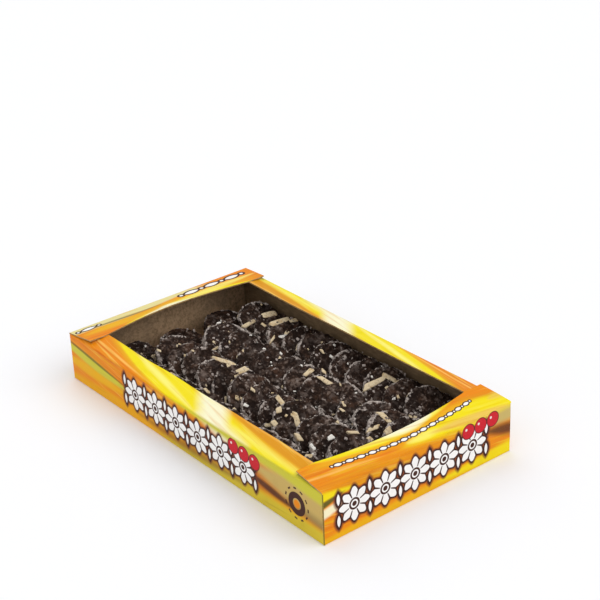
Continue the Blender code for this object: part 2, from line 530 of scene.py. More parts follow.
def sun_roundel(colour, u, v, middle, level, radius):
    """A brown ring round an orange heart, inside a ring of eleven small brown beads."""
    x = u - middle
    y = v - level
    out = span(x, y)
    beads = calculate("COSINE", calculate("ARCTAN2", y, x) * 11.0)
    return coated(
        colour,
        (BROWN, within(abs(out - radius * 0.78), radius * 0.30, 0.0004)),
        (ORANGE, within(out, radius * 0.40, 0.0005)),
        (BROWN, within(abs(out - radius * 1.42), radius * 0.10, 0.0004) * ramp(beads, 0.15, 0.35)),
    )


def long_side_print(u, v):
    """Colours of a long side: v is 0 at the floor, WALL_HEIGHT at the fold and more on the flange."""
    fold = WALL_HEIGHT
    rim = WALL_HEIGHT + FLANGE
    wall = ramp(fold - v, -0.0015, 0.0020)
    ground = ((DEEP_ORANGE, 0.60, 0.50, 0.68), (GOLD, 0.50, 0.44, 0.32))
    colour = streaked(ORANGE, u, v, 0.10, ground)
    # The flange: a light line over orange, a yellow wedge that sinks along it with a pale streak inside, an
    # amber wedge that grows along the inner edge, and a soft cream band that slants across.
    flange_ribbons = (
        (APRICOT, 1.0, -0.230, -0.030, rim - 0.0060, -0.018, 0.0013, 0.0008),
        (GOLD, 0.9, -0.162, 0.135, rim, -0.0200, 0.0185, 0.0035),
        (YELLOW, 1.0, -0.148, 0.135, rim, -0.0200, 0.0155, 0.0014),
        (YELLOW, 1.0, -0.010, 0.330, fold + 0.008, 0.004, 0.016, 0.004),
        (PALE_YELLOW, 1.0, -0.120, 0.020, rim + 0.002, -0.025, 0.0028, 0.002),
        (PALE_YELLOW, 0.6, 0.030, 0.260, fold + 0.009, -0.004, 0.004, 0.003),
        (GOLD, 0.8, 0.012, 0.330, rim, 0.0, 0.017, 0.004),
        (AMBER, 1.0, 0.024, 0.330, rim, 0.0, 0.0140, 0.002),
        (APRICOT, 0.6, 0.045, 0.330, rim - 0.0016, 0.0, 0.0016, 0.001),
        (CREAM, 1.0, -0.055, 0.088, rim + 0.048, -0.098, 0.016, 0.009),
        (CREAM, 0.75, 0.012, 0.100, fold + 0.002, -0.003, 0.0050, 0.005),
    )
    colour = overprint(colour, u, v, flange_ribbons)
    brushed = ((AMBER, 0.35, 0.52, 0.70), (PALE_YELLOW, 0.30, 0.46, 0.32))
    colour = streaked(colour, u, v, 0.17, brushed)
    # The wall: brown-orange behind the flowers, lime under the fold towards one end, a gold and lime foot.
    wall_ribbons = (
        (DULL_ORANGE, 0.85, -0.115, 0.170, 0.026, -0.006, 0.018, 0.008),
        (LIME, wall, -0.030, 0.330, fold, -0.002, 0.0085, 0.003),
        (TAN, 0.9, 0.092, 0.330, 0.037, -0.012, 0.017, 0.005),
        (LIME, wall, 0.100, 0.330, fold - 0.002, 0.0, 0.011, 0.003),
        (BROWN, 0.40, 0.140, 0.270, 0.024, -0.016, 0.0065, 0.005),
        (GOLD, 0.8, -0.260, 0.360, 0.004, 0.001, 0.012, 0.004),
        (LIME, 0.7, -0.060, 0.330, 0.003, 0.003, 0.009, 0.004),
        (GOLD, 1.0, -0.230, -0.085, 0.023, -0.002, 0.006, 0.003),
        (LIME, 1.0, -0.230, -0.085, 0.040, -0.014, 0.0055, 0.002),
        (OLIVE, 0.8, -0.225, -0.090, 0.0455, -0.016, 0.0016, 0.0010),
        (BROWN, 0.85, 0.085, 0.165, 0.027, -0.010, 0.0036, 0.002),
    )
    colour = overprint(colour, u, v, wall_ribbons)
    colour = streaked(colour, u, v, -0.06, [(BROWN, wall * 0.25, 0.60, 0.80)])
    colour = overprint(colour, u, v, [(MAROON, 0.55, -0.090, 0.100, 0.0105, 0.0, 0.0045, 0.004, -0.002)])
    colour = flower_row(colour, u, v, -0.097, 0.104, 0.0285, -0.002, 0.034)
    colour = red_roundels(colour, u, v, 0.074, 0.0420, 0.0070, 0.0015)
    colour = sun_roundel(colour, u, v, 0.1610, 0.0250, 0.0105)
    # Lime over the fold at one end, painted shade on the flange beside the end panels, a dark olive line down
    # the upright folds.
    opening = HALF_LENGTH - PANEL
    beside = ramp(u, opening - 0.006, opening + 0.002) * (1.0 - wall)
    # Painted shade: brown on the flange where it runs under the end panels' side edges.
    painted_shade_beside_panels = ramp(abs(u), opening - 0.0015, opening + 0.0005)
    painted_shade_beside_panels = painted_shade_beside_panels * ramp(abs(u), HALF_LENGTH - 0.0080, HALF_LENGTH - 0.0160) * (1.0 - wall)
    # A dark olive line down the rounded upright folds.
    upright_fold_line = ramp(abs(u), HALF_LENGTH - 0.0012, HALF_LENGTH - 0.0005)
    return coated(
        colour,
        (LIME, beside * ramp(v, fold + 0.0070, fold + 0.0040)),
        (BROWN, painted_shade_beside_panels * ramp(v, fold + 0.001, fold + 0.003) * 0.6),
        (OLIVE, upright_fold_line * wall * 0.75),
    )


def panel_rim(colour, u, curved, rim):
    """An end panel's yellow band along its curved free edge, cream in the middle, over a soft gold band."""
    ribbons = (
        (GOLD, 0.8, -0.110, 0.075, rim - 0.008, 0.0, 0.007, 0.004),
        (YELLOW, 1.0, -0.100, 0.070, rim - 0.001, 0.0, 0.0068, 0.002),
        (PALE_YELLOW, 0.8, -0.060, 0.055, rim - 0.001, 0.0, 0.005, 0.003),
        (CREAM, 1.0, -0.022, 0.040, rim - 0.001, 0.0, 0.0055, 0.003),
    )
    return overprint(colour, u, curved, ribbons)


def drawn_back(u):
    """How far an end panel's free edge is drawn back at u."""
    return FREE_EDGE_DEPTH * most(1.0 - (u / FREE_EDGE_HALF) * (u / FREE_EDGE_HALF), 0.0)


def short_side_print(u, v):
    """Colours of a short side: v is 0 at the floor, WALL_HEIGHT at the fold and more on the end panel."""
    fold = WALL_HEIGHT
    rim = WALL_HEIGHT + PANEL
    wall = ramp(fold - v, -0.0015, 0.0020)
    ground = ((DEEP_ORANGE, 0.48, 0.48, 0.66), (GOLD, 0.75, 0.48, 0.34))
    colour = streaked(ORANGE, u, v, 0.14, ground)
    # The panel: the rim band, yellow that widens towards one end under orange, and a light line at the other.
    curved = v + drawn_back(u)
    under_rim = (
        (GOLD, 0.9, -0.030, 0.250, fold + 0.006, 0.004, 0.020, 0.005),
        (YELLOW, 1.0, -0.020, 0.250, fold + 0.006, 0.004, 0.015, 0.003),
        (PALE_YELLOW, 0.7, -0.010, 0.030, fold + 0.009, -0.002, 0.0045, 0.003),
        (SAND, 0.9, 0.015, 0.110, fold + 0.007, -0.010, 0.0050, 0.003),
    )
    over_rim = (
        (AMBER, 1.0, 0.058, 0.190, rim, -0.003, 0.0210, 0.004),
        (ORANGE, 1.0, 0.060, 0.190, rim, -0.003, 0.0170, 0.003),
        (SAND, 0.7, 0.092, 0.150, fold + 0.014, 0.0, 0.006, 0.003),
        (APRICOT, 0.9, -0.175, -0.030, fold + 0.030, -0.024, 0.0014, 0.001),
    )
    colour = panel_rim(overprint(colour, u, v, under_rim), u, curved, rim)
    colour = overprint(colour, u, v, over_rim)
    brushed = ((AMBER, 0.45, 0.52, 0.70), (PALE_YELLOW, 0.25, 0.45, 0.32))
    colour = streaked(colour, u, v, 0.20, brushed)
    # The wall: an orange band that falls along it, yellow under that towards one end, a gold and yellow foot,
    # a cream glint under an olive line at one end and a brown streak at the other.
    wall_ribbons = (
        (AMBER, 0.40, -0.150, 0.080, 0.060, -0.026, 0.009, 0.004),
        (TAN, wall, 0.050, 0.170, 0.041, 0.0, 0.0065, 0.004),
        (GOLD, 1.0, -0.190, 0.190, 0.002, 0.002, 0.006, 0.003),
        (YELLOW, 0.85, 0.010, 0.230, 0.006, 0.001, 0.0065, 0.003),
        (YELLOW, 0.9, -0.160, -0.070, 0.050, -0.006, 0.0045, 0.002),
        (CREAM, 0.9, -0.150, -0.066, 0.0225, 0.016, 0.0045, 0.002),
        (OLIVE, 1.0, -0.145, -0.084, 0.0315, 0.013, 0.0032, 0.0014),
        (BROWN, 0.85, 0.070, 0.150, 0.034, -0.018, 0.0062, 0.004),
    )
    colour = overprint(colour, u, v, wall_ribbons)
    colour = flower_row(colour, u, v, -0.093, 0.078, 0.0275, -0.001, 0.035)
    colour = red_roundels(colour, u, v, 0.0560, 0.0420, 0.0070, -0.0004)
    return bead_row(colour, u, curved, -0.080, 0.080, rim - 0.0125, 0.0, 0.0056)


def far_panel_print(u, v):
    """Colours of the far end panel: pale lime over its fold, an olive streak and two short rows of leaves."""
    fold = WALL_HEIGHT
    rim = WALL_HEIGHT + PANEL
    ground = ((DEEP_ORANGE, 0.5, 0.50, 0.68), (GOLD, 0.6, 0.44, 0.32))
    colour = streaked(ORANGE, u, v, 0.14, ground)
    colour = panel_rim(colour, u, v + drawn_back(u), rim)
    ribbons = (
        (GOLD, 1.0, 0.010, 0.110, fold + 0.020, 0.0, 0.0065, 0.004),
        (PALE_YELLOW, 0.8, -0.110, 0.0, fold + 0.020, 0.002, 0.005, 0.003),
        (PALE_LIME, 1.0, -0.060, 0.180, fold + 0.004, 0.0, 0.0095, 0.002),
        (OLIVE, 0.8, 0.004, 0.110, fold + 0.0130, -0.003, 0.0018, 0.0014),
    )
    colour = overprint(colour, u, v, ribbons)
    colour = streaked(colour, u, v, 0.20, [(AMBER, 0.35, 0.52, 0.70)])
    colour = bead_row(colour, u, v, -0.096, -0.018, fold + 0.0100, 0.001, 0.0110)
    return bead_row(colour, u, v, 0.080, 0.104, fold + 0.0080, 0.0, 0.0080)


def printed_board(name, design):
    """Satin print on board: the design on the flat-sheet map, with faint fibres and handling marks."""
    material, tree, shader = new_material(name)
    u, v, _ = parts_of(Term(tree.nodes.new("ShaderNodeUVMap").outputs[0]))
    place = object_place(tree)
    cloud = noise(place, 0.030, 3.0)
    fibre = noise(place, 0.0009, 2.0)
    handled = (HANDLED_BROWN, ramp(cloud, 0.55, 0.80) * 0.10)
    colour = coated(design(u, v), handled, (FIBRE_WHITE, ramp(fibre, 0.62, 0.80) * 0.07))
    relief = bump(fibre + 3.0 * noise(place, 0.012, 2.0), 0.25, 0.0002)
    finish(shader, colour, 0.40 + 0.16 * cloud, 0.11, relief)
    return material


def bare_board():
    """Unprinted board: brown-grey with short fibres and specks, and painted shade that darkens it along the
    long walls.
    """
    material, tree, shader = new_material("bare_board")
    place = object_place(tree)
    fibre = noise(place, 0.0030, 4.0, 0.65, stretch=(0.35, 1.0, 1.0))
    far, pick = cells(place, 0.0016)
    # Painted shade: darker board along the long sides, where the flanges overhang the inner walls.
    painted_shade_by_long_walls = ramp(abs(parts_of(place)[1]), HALF_WIDTH - 0.0060, HALF_WIDTH - 0.0025)
    colour = coated(
        BOARD_GREY,
        (BOARD_FIBRE, ramp(fibre, 0.35, 0.70)),
        (BOARD_SPECK, ramp(pick, 0.90, 0.93) * ramp(far, 0.32, 0.12) * 0.7),
        (BOARD_STAIN, ramp(noise(place, 0.030, 3.0), 0.42, 0.70) * 0.45),
        (BOARD_PAINTED_SHADE, painted_shade_by_long_walls * (0.55 + 0.35 * fibre)),
    )
    finish(shader, colour, 0.88, 0.25, bump(fibre, 0.35, 0.0003))
    return material


def cut_edge():
    """A cut edge of the board, with its plies showing as fine stripes across the thickness."""
    material, tree, shader = new_material("cut_board_edge")
    ply = noise(object_place(tree), 0.0011, 3.0, 0.6, stretch=(0.15, 0.15, 2.5))
    finish(shader, paint(PLY_PALE, PLY_DARK, ramp(ply, 0.42, 0.60)), 0.9, 0.5)
    return material


# Materials of the slices


DOUGH_DARK = srgb(35, 22, 15)
DOUGH_GRAIN = srgb(74, 54, 43)
DOUGH_WARM = srgb(92, 65, 50)
DOUGH_DEEP = srgb(24, 13, 9)
BLOOM = srgb(110, 96, 89)
BLOOM_ON_LUMPS = srgb(130, 114, 104)
PALE_FLECK = srgb(168, 154, 146)
DUST_THIN = srgb(168, 155, 148)
DUST_THICK = srgb(224, 213, 204)
KNIFE_SMEAR = srgb(70, 48, 36)

# The light, toasted and pore colours of each kind of piece in the dough.
BISCUIT_COLOURS = {
    "biscuit_crumb": (srgb(228, 208, 172), srgb(198, 166, 118), srgb(160, 130, 92)),
    "white_bit": (srgb(244, 240, 232), srgb(226, 220, 208), srgb(200, 192, 180)),
    "grey_crumb": (srgb(176, 164, 158), srgb(140, 122, 112), srgb(112, 94, 86)),
}


def chocolate_dough():
    """Nearly black crumbly dough: lumps with grey bloom on top, pale flecks and a dusted rim."""
    material, tree, shader = new_material("chocolate_dough")
    place = object_place(tree)
    relief = attribute(tree, "relief")
    grain = noise(place, 0.0016, 3.0, 0.60)
    fleck = noise(place, 0.0042, 2.0, 0.55)
    powder = 0.45 * noise(place, 0.0042, 3.0, 0.60) + 0.55 * noise(place, 0.0170, 2.0)
    settled = 5.6 * (powder - 0.5) + 2.0 * (noise(place, 0.0550, 1.0) - 0.5)
    dusted = attribute(tree, "dust") + settled + 1.4 * (grain - 0.5) + 0.20 * relief
    colour = coated(
        DOUGH_DARK,
        (DOUGH_GRAIN, ramp(grain + relief * 0.5, 0.38, 0.88)),
        (DOUGH_WARM, ramp(noise(place, 0.0095), 0.54, 0.72) * 0.50),
        (BLOOM, ramp(noise(place, 0.0070, 3.0, 0.60), 0.50, 0.66) * 0.62),
        (BLOOM_ON_LUMPS, ramp(relief + 0.8 * grain, 0.62, 1.00) * 0.6),
        (DOUGH_DEEP, ramp(noise(place, 0.0280, 2.0), 0.47, 0.62) * 0.62),
        (PALE_FLECK, ramp(fleck, 0.610, 0.720) * 0.65),
        (paint(DUST_THIN, DUST_THICK, ramp(grain, 0.42, 0.66)), ramp(dusted, 0.82, 1.44) * 0.82),
    )
    fine = noise(place, 0.0005, 3.0, 0.7)
    finish(shader, colour, 0.62, 0.10, bump(grain + 0.5 * fine + 0.5 * fleck, 0.9, 0.0009))
    return material


def biscuit(name, light, toasted, pore):
    """Dry biscuit: fine crumb, toasted patches, small pores and dark smears from the knife."""
    material, tree, shader = new_material(name)
    place = object_place(tree)
    crumb = noise(place, 0.0010, 4.0, 0.65)
    colour = coated(
        light,
        (toasted, ramp(noise(place, 0.0040, 2.0), 0.48, 0.72) * 0.75),
        (pore, ramp(crumb, 0.42, 0.30) * 0.6),
        (KNIFE_SMEAR, ramp(noise(place, 0.0030, 4.0, 0.75), 0.52, 0.70) * 0.65),
    )
    finish(shader, colour, 0.85, 0.3, bump(crumb, 0.6, 0.0005))
    return material


# Surfaces from arrays


def smooth_noise(points, size, table):
    """Noise of -1 to 1: a table of random values on a cubic lattice, blended smoothly between its places."""
    place = points / size
    low = np.floor(place).astype(int)
    part = place - low
    part = part * part * (3 - 2 * part)
    total = np.zeros(len(points))
    side = table.shape[0]
    for corner in np.ndindex(2, 2, 2):
        weight = np.prod(np.where(corner, part, 1 - part), axis=1)
        key = (low + corner) % side
        total += weight * table[key[:, 0], key[:, 1], key[:, 2]]
    return total


def lumps(points, size, scatter):
    """Rounded crumbs of 0 to 1: 1 less the distance to the nearest of scattered centres, one in each cell."""
    place = points / size
    low = np.floor(place).astype(int)
    nearest = np.full(len(points), 9.0)
    side = scatter.shape[0]
    for step in np.ndindex(3, 3, 3):
        cell = low + np.array(step) - 1
        key = cell % side
        centre = cell + scatter[key[:, 0], key[:, 1], key[:, 2]]
        nearest = np.minimum(nearest, np.sum((place - centre) ** 2, axis=1))
    return np.clip(1 - np.sqrt(nearest), 0, 1)


def grid_quads(rows, columns, closed):
    """Corner numbers of the quads of a grid, with its columns joined round if it is closed."""
    row = np.arange(rows - 1)[:, None] * columns
    column = np.arange(columns if closed else columns - 1)[None, :]
    after = (column + 1) % columns
    return laid_out(row + column, row + after, row + columns + after, row + columns + column).reshape(-1, 4)


def fan(tip, ring):
    """Triangles from one point to a closed ring."""
    return np.stack([np.full(len(ring), tip), ring, np.roll(ring, -1)], axis=-1)


def closed_faces(rows, columns, downwards):
    """Faces of a grid that is joined round, closed by a fan at either end to a point after the grid's own.

    The rows climb, or with downwards true they go down, and the faces are turned so that they point out.
    """
    step = -1 if downwards else 1
    first = np.arange(columns)
    last = first + (rows - 1) * columns
    tip = rows * columns
    return [grid_quads(rows, columns, True)[:, ::step], fan(tip, first[::-step]), fan(tip + 1, last[::step])]


def laid_out(*parts):
    """Arrays side by side on a new last axis, each spread over the rows and columns of the others."""
    return np.stack(np.broadcast_arrays(*parts), axis=-1)


def section(*parts):
    """Stations of a section, one part after another, as a column."""
    return np.concatenate(parts)[:, None]


def piece_from(name, points, faces, materials, indices, fields=None, blank=None, sharp=None):
    """An object from arrays: points, groups of faces, a material number for each face, and point fields."""
    mesh = bpy.data.meshes.new(name)
    corners = np.concatenate([group.ravel() for group in faces])
    sizes = np.concatenate([np.full(len(group), group.shape[1]) for group in faces])
    mesh.vertices.add(len(points))
    mesh.vertices.foreach_set("co", points.astype(np.float32).ravel())
    mesh.loops.add(len(corners))
    mesh.loops.foreach_set("vertex_index", corners.astype(np.int32))
    mesh.polygons.add(len(sizes))
    mesh.polygons.foreach_set("loop_start", (np.cumsum(sizes) - sizes).astype(np.int32))
    for material in materials:
        mesh.materials.append(material)
    mesh.polygons.foreach_set("material_index", indices.astype(np.int32))
    mesh.update(calc_edges=True)
    for field, values in (fields or {}).items():
        made = mesh.attributes.new(field, "FLOAT", "POINT")
        made.data.foreach_set("value", values.astype(np.float32))
    if blank is not None:
        layer = mesh.uv_layers.new(name="flat_sheet")
        layer.data.foreach_set("uv", blank[corners].astype(np.float32).ravel())
    mesh.shade_smooth()
    if sharp:
        mesh.set_sharp_from_angle(angle=math.radians(sharp))
    piece = bpy.data.objects.new(name, mesh)
    bpy.context.scene.collection.objects.link(piece)
    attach(piece, "root")
    return piece


# The carton


def board_shell(outer, blank):
    """Closed board from its outer face: the inner face lies one board behind it, and cut edges join the two.

    Returns points, quads, each quad's material number (0 outside, 1 inside, 2 edge) and the flat-sheet map.
    """
    rows, columns = outer.shape[:2]
    normal = np.cross(np.gradient(outer, axis=1), np.gradient(outer, axis=0))
    normal /= np.linalg.norm(normal, axis=-1, keepdims=True)
    inner = outer - BOARD * normal
    points = np.concatenate([outer.reshape(-1, 3), inner.reshape(-1, 3)])
    quads = grid_quads(rows, columns, False)
    behind = rows * columns
    number = np.arange(behind).reshape(rows, columns)
    ring = np.concatenate([number[0, :-1], number[:-1, -1], number[-1, :0:-1], number[:0:-1, 0]])
    after = np.roll(ring, -1)
    edges = np.stack([after, ring, ring + behind, after + behind], axis=-1)
    faces = np.concatenate([quads, quads[:, ::-1] + behind, edges])
    indices = np.repeat((0, 1, 2), (len(quads), len(quads), len(edges)))
    flat = np.concatenate([blank.reshape(-1, 2)] * 2)
    return points, faces, indices, flat


def board_piece(name, shells, materials):
    """One carton piece from several closed shells of board."""
    offset = np.cumsum([0] + [len(shell[0]) for shell in shells])
    points = np.concatenate([shell[0] for shell in shells])
    faces = np.concatenate([shell[1] + start for shell, start in zip(shells, offset)])
    indices = np.concatenate([shell[2] for shell in shells])
    blank = np.concatenate([shell[3] for shell in shells])
    piece = piece_from(name, points, [faces], materials, indices, blank=blank, sharp=40)
    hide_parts("carton")
    return piece


def turned(points, side):
    """Points of the near short side or the front long side, turned half round for the opposite one."""
    return points * np.array((side, side, 1.0))


def wander(values, seed, depth, size):
    """A slow wander along the values: half the sum of three sines of random phase, times the depth."""
    rng = np.random.default_rng(seed)
    phases = rng.uniform(0, 2 * math.pi, 3)
    lengths = size * rng.uniform(0.6, 1.6, 3)
    sines = sum(np.sin(2 * math.pi * values / length + phase) for length, phase in zip(lengths, phases))
    return depth * sines / 2


def fold_section(stations):
    """A quarter-round fold from upright to level.

    Returns, for each station, FOLD (1 - cos t), FOLD (sin t - 1) and the length along it, FOLD t.
    """
    turn = np.linspace(0, math.pi / 2, stations)
    return FOLD * (1 - np.cos(turn)), FOLD * (np.sin(turn) - 1), FOLD * turn


def wall_shell(half, distance, top, long_side, side, seed):
    """A wall: a quarter-round fold off the floor, then straight up.

    It bulges as sin(pi z / top) up the wall times a parabola along it.
    """
    rounded, short, _ = fold_section(FOOT_STATIONS)
    height = section(rounded, np.linspace(FOLD, top - FOLD, WALL_STATIONS + 1)[1:])
    depth = section(short, np.zeros(WALL_STATIONS))
    u = np.linspace(-half + CORNER + SEAM, half - CORNER - SEAM, LONG_COLUMNS)
    bow = WALL_BULGE * (1 - (u / half) ** 2) + wander(u, seed, *WALL_WANDER)
    out = distance - WALL_INSET + depth + bow * np.sin(math.pi * np.clip(height / top, 0, 1))
    points = laid_out(u, -out, height) if long_side else laid_out(out, u, height)
    return board_shell(turned(points, side), laid_out(u, height))


def panel_under(x):
    """Height of an end panel's underside over the long side."""
    return WALL_HEIGHT - BOARD + PANEL_RISE * (HALF_LENGTH - np.abs(x)) / PANEL


def long_flange_shell(side, seed):
    """A long flange: a quarter-round fold off the wall, then a slope up to its free edge.

    It rises by FLANGE_RISE. Under an end panel it springs up against that panel, close to its own fold.
    """
    top = WALL_HEIGHT - LONG_SIDE_DROP
    opening = HALF_LENGTH - PANEL
    under = np.linspace(opening + FLANGE_STEP, HALF_LENGTH - FLANGE_END, UNDER_PANEL_COLUMNS)
    over_food = np.linspace(FLANGE_STEP - opening, opening - FLANGE_STEP, LONG_COLUMNS)
    x = np.concatenate([-under[::-1], over_food, under])
    rounded, below, along = fold_section(FOLD_STATIONS)
    share = np.linspace(0, 1, FLANGE_STATIONS + 1)[1:]
    reach = section(rounded, FOLD + (FLANGE - FOLD) * share)
    lift = section(below, 0 * share)
    slope = section(0 * below, share)
    free = np.abs(x) < opening
    under_panel = np.minimum(panel_under(x) - top - CLEARANCE, FLANGE_RISE)
    in_opening = FLANGE_RISE - FLANGE_LIFT_WANDER[0] + wander(x, seed, *FLANGE_LIFT_WANDER)
    rise = np.where(free, in_opening, np.maximum(under_panel, -CLEARANCE))
    out = HALF_WIDTH - WALL_INSET - reach - slope * free * wander(x, seed + 1, *FLANGE_EDGE_WANDER)
    up = top + lift + rise * np.where(free, slope, np.minimum(FLANGE_SPRING * slope, 1))
    up += free * np.sin(math.pi * slope) * wander(x, seed + 2, *FLANGE_FACE_WANDER)
    length = section(along, FOLD * math.pi / 2 + (FLANGE - FOLD) * share)
    return board_shell(turned(laid_out(x, -out, up), side), laid_out(x, WALL_HEIGHT - FOLD + length))


def end_panel_shell(side, seed):
    """An end panel: a quarter-round fold off the short wall, then a slope up to its free edge.

    Over the opening the free edge is drawn back from PANEL by FREE_EDGE_DEPTH times a parabola, 1 less
    (y / FREE_EDGE_HALF) squared, and it bows up by PANEL_BOW times the same. The free edge is narrower than
    the fold, by PANEL_TAPER a side.
    """
    half = HALF_WIDTH - PANEL_INSET
    over_flange = np.linspace(FREE_EDGE_HALF, half, OVER_FLANGE_COLUMNS)
    opening = np.linspace(-FREE_EDGE_HALF, FREE_EDGE_HALF, OPENING_COLUMNS)[1:-1]
    y = np.concatenate([-over_flange[::-1], opening, over_flange])
    curve = np.maximum(1 - (y / FREE_EDGE_HALF) ** 2, 0)
    free = PANEL - FREE_EDGE_DEPTH * curve - wander(y, seed + 1, *PANEL_EDGE_WANDER)
    rounded, below, along = fold_section(FOLD_STATIONS)
    slope = np.linspace(0, 1, PANEL_STATIONS + 1)[1:]
    share = section(0 * below, slope)
    fold = section(rounded, 0 * slope + FOLD)
    reach = fold + (free - FOLD) * share
    up = WALL_HEIGHT + section(below, 0 * slope) + PANEL_RISE * (reach - fold) / PANEL
    up += share * PANEL_BOW * curve + np.sin(math.pi * share) * wander(y, seed, *PANEL_FACE_WANDER)
    length = section(along, 0 * slope + FOLD * math.pi / 2) + reach - fold
    across = y * (1 - PANEL_TAPER / half * share)
    points = laid_out(HALF_LENGTH - WALL_INSET - reach, across, up)
    return board_shell(turned(points, side), laid_out(across, WALL_HEIGHT - FOLD + length))


def corner_shell(x_sign, y_sign):
    """A corner: a quarter round from the end of the long wall to the end of the short one."""
    turn = np.linspace(0, math.pi / 2, FOLD_STATIONS)[:: -x_sign * y_sign]
    height = np.linspace(CORNER_FOOT, WALL_HEIGHT - FOLD, CORNER_STATIONS)[:, None]
    x = HALF_LENGTH - WALL_INSET - CORNER * (1 - np.sin(turn))
    y = HALF_WIDTH - WALL_INSET - CORNER * (1 - np.cos(turn))
    along = HALF_LENGTH - CORNER + CORNER * np.sin(turn)
    return board_shell(laid_out(x_sign * x, y_sign * y, height), laid_out(-x_sign * y_sign * along, height))


def floor_shell():
    """The floor panel: a flat grid at height 0, its outer face down on the ground."""
    x = np.linspace(-1, 1, FLOOR_COLUMNS) * (HALF_LENGTH - WALL_INSET - FOLD)
    y = np.linspace(-1, 1, FLOOR_ROWS)[:, None] * (HALF_WIDTH - WALL_INSET - FOLD)
    return board_shell(laid_out(x, -y, 0.0), laid_out(x, y))


def build_carton():
    """The ten pieces of board: the ends, the long sides, the corners and the floor."""
    edge = cut_edge()
    bare = bare_board()
    long_print = printed_board("long_side_print", long_side_print)
    short_print = printed_board("short_side_print", short_side_print)
    far_print = printed_board("far_panel_print", far_panel_print)
    corners = [corner_shell(x_sign, y_sign) for x_sign in (-1, 1) for y_sign in (-1, 1)]
    long_top = WALL_HEIGHT - LONG_SIDE_DROP
    for side, end, panel_print in ((1, "near", short_print), (-1, "far", far_print)):
        wall = wall_shell(HALF_WIDTH, HALF_LENGTH, WALL_HEIGHT, False, side, SEED + 1 + side)
        board_piece(f"short_wall_{end}", [wall], [short_print, bare, edge])
        board_piece(f"end_panel_{end}", [end_panel_shell(side, SEED + 5 + side)], [panel_print, bare, edge])
    for side, place in ((1, "front"), (-1, "back")):
        wall = wall_shell(HALF_LENGTH, HALF_WIDTH, long_top, True, side, SEED + 10 + side)
        board_piece(f"long_wall_{place}", [wall], [long_print, bare, edge])
        flange = long_flange_shell(side, SEED + 20 + side)
        board_piece(f"long_flange_{place}", [flange], [long_print, bare, edge])
    board_piece("carton_corners", corners, [long_print, bare, edge])
    board_piece("carton_floor", [floor_shell()], [bare, bare, edge])


# The slices


class Slice:
    """Place and outline of one slice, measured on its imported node.

    The node's thinnest direction is its face's normal. Its outline is the largest distance of the node's
    points from the middle in each direction, smoothed by a short Fourier series.
    """

    def __init__(self, name):
        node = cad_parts[name]
        flat = np.empty(len(node.data.vertices) * 3)
        node.data.vertices.foreach_get("co", flat)
        points = flat.reshape(-1, 3) @ np.array(node.matrix_world)[:3, :3].T
        points = np.unique(np.round(points + np.array(node.matrix_world)[:3, 3], 7), axis=0)
        self.name = name
        self.centre = points.mean(axis=0)
        normal = np.linalg.eigh(np.cov((points - self.centre).T))[1][:, 0]
        normal *= math.copysign(1.0, normal[2])
        across = np.cross((0, 0, 1.0), normal)
        across /= np.linalg.norm(across)
        self.axes = np.stack([across, np.cross(normal, across), normal], axis=1)
        local = (points - self.centre) @ self.axes
        self.half = float(np.abs(local[:, 2]).max())
        angle = np.arctan2(local[:, 1], local[:, 0])
        out = np.hypot(local[:, 0], local[:, 1])
        spokes = np.linspace(-math.pi, math.pi, SPOKES, endpoint=False)
        gap = np.abs((angle[None, :] - spokes[:, None] + math.pi) % (2 * math.pi) - math.pi)
        rim = np.where(gap < SPOKE_SPREAD, out, 0).max(axis=1)
        self.series = (np.fft.rfft(rim) / SPOKES)[: OUTLINE_HARMONICS + 1]

    def radius(self, angle):
        """The outline's distance from the middle in each direction."""
        total = np.full(np.shape(angle), self.series[0].real)
        for order in range(1, len(self.series)):
            harmonic = self.series[order] * np.exp(1j * order * (np.asarray(angle) + math.pi))
            total = total + 2 * harmonic.real
        return total

    def to_world(self, local):
        """Points given across, along and out of the face, from the slice's middle."""
        return local @ self.axes.T + self.centre


def slice_stations(half):
    """A slice's section from the middle of the face over the rim and the side to the middle of the back.

    Returns columns: the share of the outline, the height, and the section's normal as its parts outwards and
    upwards. A station lies out by its share of the outline, plus RIM_ROUNDING times its outwards part.
    """
    face = np.linspace(0, 1, FACE_STATIONS + 1)[1:] ** 0.85
    back = np.linspace(1, 0, BACK_STATIONS + 1)[:-1]
    turn = np.linspace(0, math.pi / 2, RIM_STATIONS + 2)[1:]
    low_turn = math.pi / 2 + turn[:-1]
    side = np.linspace(half - RIM_ROUNDING, RIM_ROUNDING - half, SIDE_STATIONS + 1)[1:]
    upper = half - RIM_ROUNDING * (1 - np.cos(turn))
    lower = RIM_ROUNDING - half + RIM_ROUNDING * np.cos(low_turn)
    share = section(face, 0 * upper + 1, 0 * side + 1, 0 * lower + 1, back)
    height = section(0 * face + half, upper, side, lower, 0 * back - half)
    outwards = section(0 * face, np.sin(turn), 0 * side + 1, np.sin(low_turn), 0 * back)
    upwards = section(0 * face + 1, np.cos(turn), 0 * side, np.cos(low_turn), 0 * back - 1)
    return share, height, outwards, upwards


